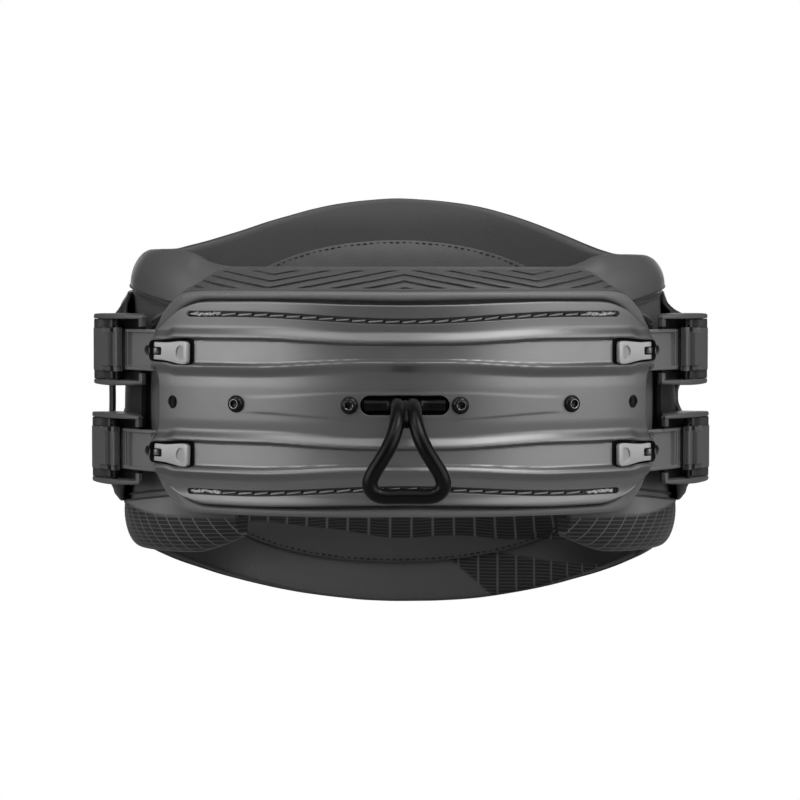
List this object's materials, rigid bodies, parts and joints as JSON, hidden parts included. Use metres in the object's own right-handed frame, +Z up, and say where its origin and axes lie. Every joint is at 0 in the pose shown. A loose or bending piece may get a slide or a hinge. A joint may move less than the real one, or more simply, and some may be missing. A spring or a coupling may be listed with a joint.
{
  "type": "waist harness",
  "caption": "Rigid-backed waist harness with a curved metal spreader bar, fixed rod hook, foam bar pad, ladder straps with latch levers, and ratchet buckles.",
  "frame": {"origin": "on the lowest edge, at the middle of the overall width and depth", "axes": "+Z up, -Y out of the bar's front towards the hook, +X along the bar to the viewer's right"},
  "size_m": [0.3944, 0.3468, 0.2797],
  "materials": {
    "bar": "satin grey anodised, formed sheet",
    "latch": "satin light grey",
    "hook": "semi-gloss black coated rod",
    "fastener": "black oxide",
    "strap": "moulded, satin",
    "buckle": "moulded, satin",
    "pad": "moulded closed-cell foam with a soft grey skin",
    "stiffener": "plain",
    "tape": "woven tape with pale thread",
    "shell": "moulded, satin",
    "carrier": "soft foam with a smooth skin",
    "liner": "neoprene with a printed line grid"
  },
  "bodies": {
    "harness": {"spreader_bar": "bar", "latch_pin_right_upper": "fastener", "latch_pin_right_lower": "fastener", "latch_pin_left_upper": "fastener", "latch_pin_left_lower": "fastener", "hook": "hook", "hook_clamp": "fastener", "bolt_right_inner": "fastener", "nut_right_inner": "fastener", "bolt_right_outer": "fastener", "nut_right_outer": "fastener", "bolt_left_inner": "fastener", "nut_left_inner": "fastener", "bolt_left_outer": "fastener", "nut_left_outer": "fastener", "pad_stiffener": "stiffener", "seam_tape_upper": "tape", "seam_tape_lower": "tape", "bar_pad": "pad", "buckle_frame_right_upper": "buckle", "buckle_pin_right_upper": "fastener", "buckle_spring_right_upper": "fastener", "buckle_rivet_right_upper": "fastener", "buckle_frame_right_lower": "buckle", "buckle_pin_right_lower": "fastener", "buckle_spring_right_lower": "fastener", "buckle_rivet_right_lower": "fastener", "buckle_frame_left_upper": "buckle", "buckle_pin_left_upper": "fastener", "buckle_spring_left_upper": "fastener", "buckle_rivet_left_upper": "fastener", "buckle_frame_left_lower": "buckle", "buckle_pin_left_lower": "fastener", "buckle_spring_left_lower": "fastener", "buckle_rivet_left_lower": "fastener", "side_bridge_right": "shell", "side_bridge_left": "shell", "inner_liner": "liner", "foam_carrier": "carrier", "outer_shell": "shell", "lumbar_pad": "liner"},
    "strap_right_upper": {"ladder_strap_right_upper": "strap"},
    "latch_right_upper": {"latch_lever_right_upper": "latch"},
    "buckle_lever_right_upper": {"buckle_lever_right_upper": "buckle"},
    "strap_right_lower": {"ladder_strap_right_lower": "strap"},
    "latch_right_lower": {"latch_lever_right_lower": "latch"},
    "buckle_lever_right_lower": {"buckle_lever_right_lower": "buckle"},
    "strap_left_upper": {"ladder_strap_left_upper": "strap"},
    "latch_left_upper": {"latch_lever_left_upper": "latch"},
    "buckle_lever_left_upper": {"buckle_lever_left_upper": "buckle"},
    "strap_left_lower": {"ladder_strap_left_lower": "strap"},
    "latch_left_lower": {"latch_lever_left_lower": "latch"},
    "buckle_lever_left_lower": {"buckle_lever_left_lower": "buckle"}
  },
  "joints": [
    {"name": "strap_travel_right_upper", "type": "hinge", "parent": "harness", "child": "strap_right_upper", "pos_m": [0, 0.09005, 0.1791], "axis": [0, 0, 1], "range_deg": [0, 12]},
    {"name": "latch_swing_right_upper", "type": "hinge", "parent": "harness", "child": "latch_right_upper", "pos_m": [0.15041, -0.0552, 0.1791], "axis": [0, 0, 1], "range_deg": [0, 80]},
    {"name": "buckle_swing_right_upper", "type": "hinge", "parent": "harness", "child": "buckle_lever_right_upper", "pos_m": [0.17731, -0.01945, 0.1791], "axis": [0, 0, -1], "range_deg": [0, 70]},
    {"name": "strap_travel_right_lower", "type": "hinge", "parent": "harness", "child": "strap_right_lower", "pos_m": [0, 0.09005, 0.1171], "axis": [0, 0, 1], "range_deg": [0, 12]},
    {"name": "latch_swing_right_lower", "type": "hinge", "parent": "harness", "child": "latch_right_lower", "pos_m": [0.15041, -0.0552, 0.1171], "axis": [0, 0, 1], "range_deg": [0, 80]},
    {"name": "buckle_swing_right_lower", "type": "hinge", "parent": "harness", "child": "buckle_lever_right_lower", "pos_m": [0.17938, -0.01603, 0.1171], "axis": [0, 0, -1], "range_deg": [0, 70]},
    {"name": "strap_travel_left_upper", "type": "hinge", "parent": "harness", "child": "strap_left_upper", "pos_m": [0, 0.09005, 0.1791], "axis": [0, 0, -1], "range_deg": [0, 12]},
    {"name": "latch_swing_left_upper", "type": "hinge", "parent": "harness", "child": "latch_left_upper", "pos_m": [-0.15041, -0.0552, 0.1791], "axis": [0, 0, -1], "range_deg": [0, 80]},
    {"name": "buckle_swing_left_upper", "type": "hinge", "parent": "harness", "child": "buckle_lever_left_upper", "pos_m": [-0.17731, -0.01945, 0.1791], "axis": [0, 0, 1], "range_deg": [0, 70]},
    {"name": "strap_travel_left_lower", "type": "hinge", "parent": "harness", "child": "strap_left_lower", "pos_m": [0, 0.09005, 0.1171], "axis": [0, 0, -1], "range_deg": [0, 12]},
    {"name": "latch_swing_left_lower", "type": "hinge", "parent": "harness", "child": "latch_left_lower", "pos_m": [-0.15041, -0.0552, 0.1171], "axis": [0, 0, -1], "range_deg": [0, 80]},
    {"name": "buckle_swing_left_lower", "type": "hinge", "parent": "harness", "child": "buckle_lever_left_lower", "pos_m": [-0.17938, -0.01603, 0.1171], "axis": [0, 0, 1], "range_deg": [0, 70]}
  ]
}
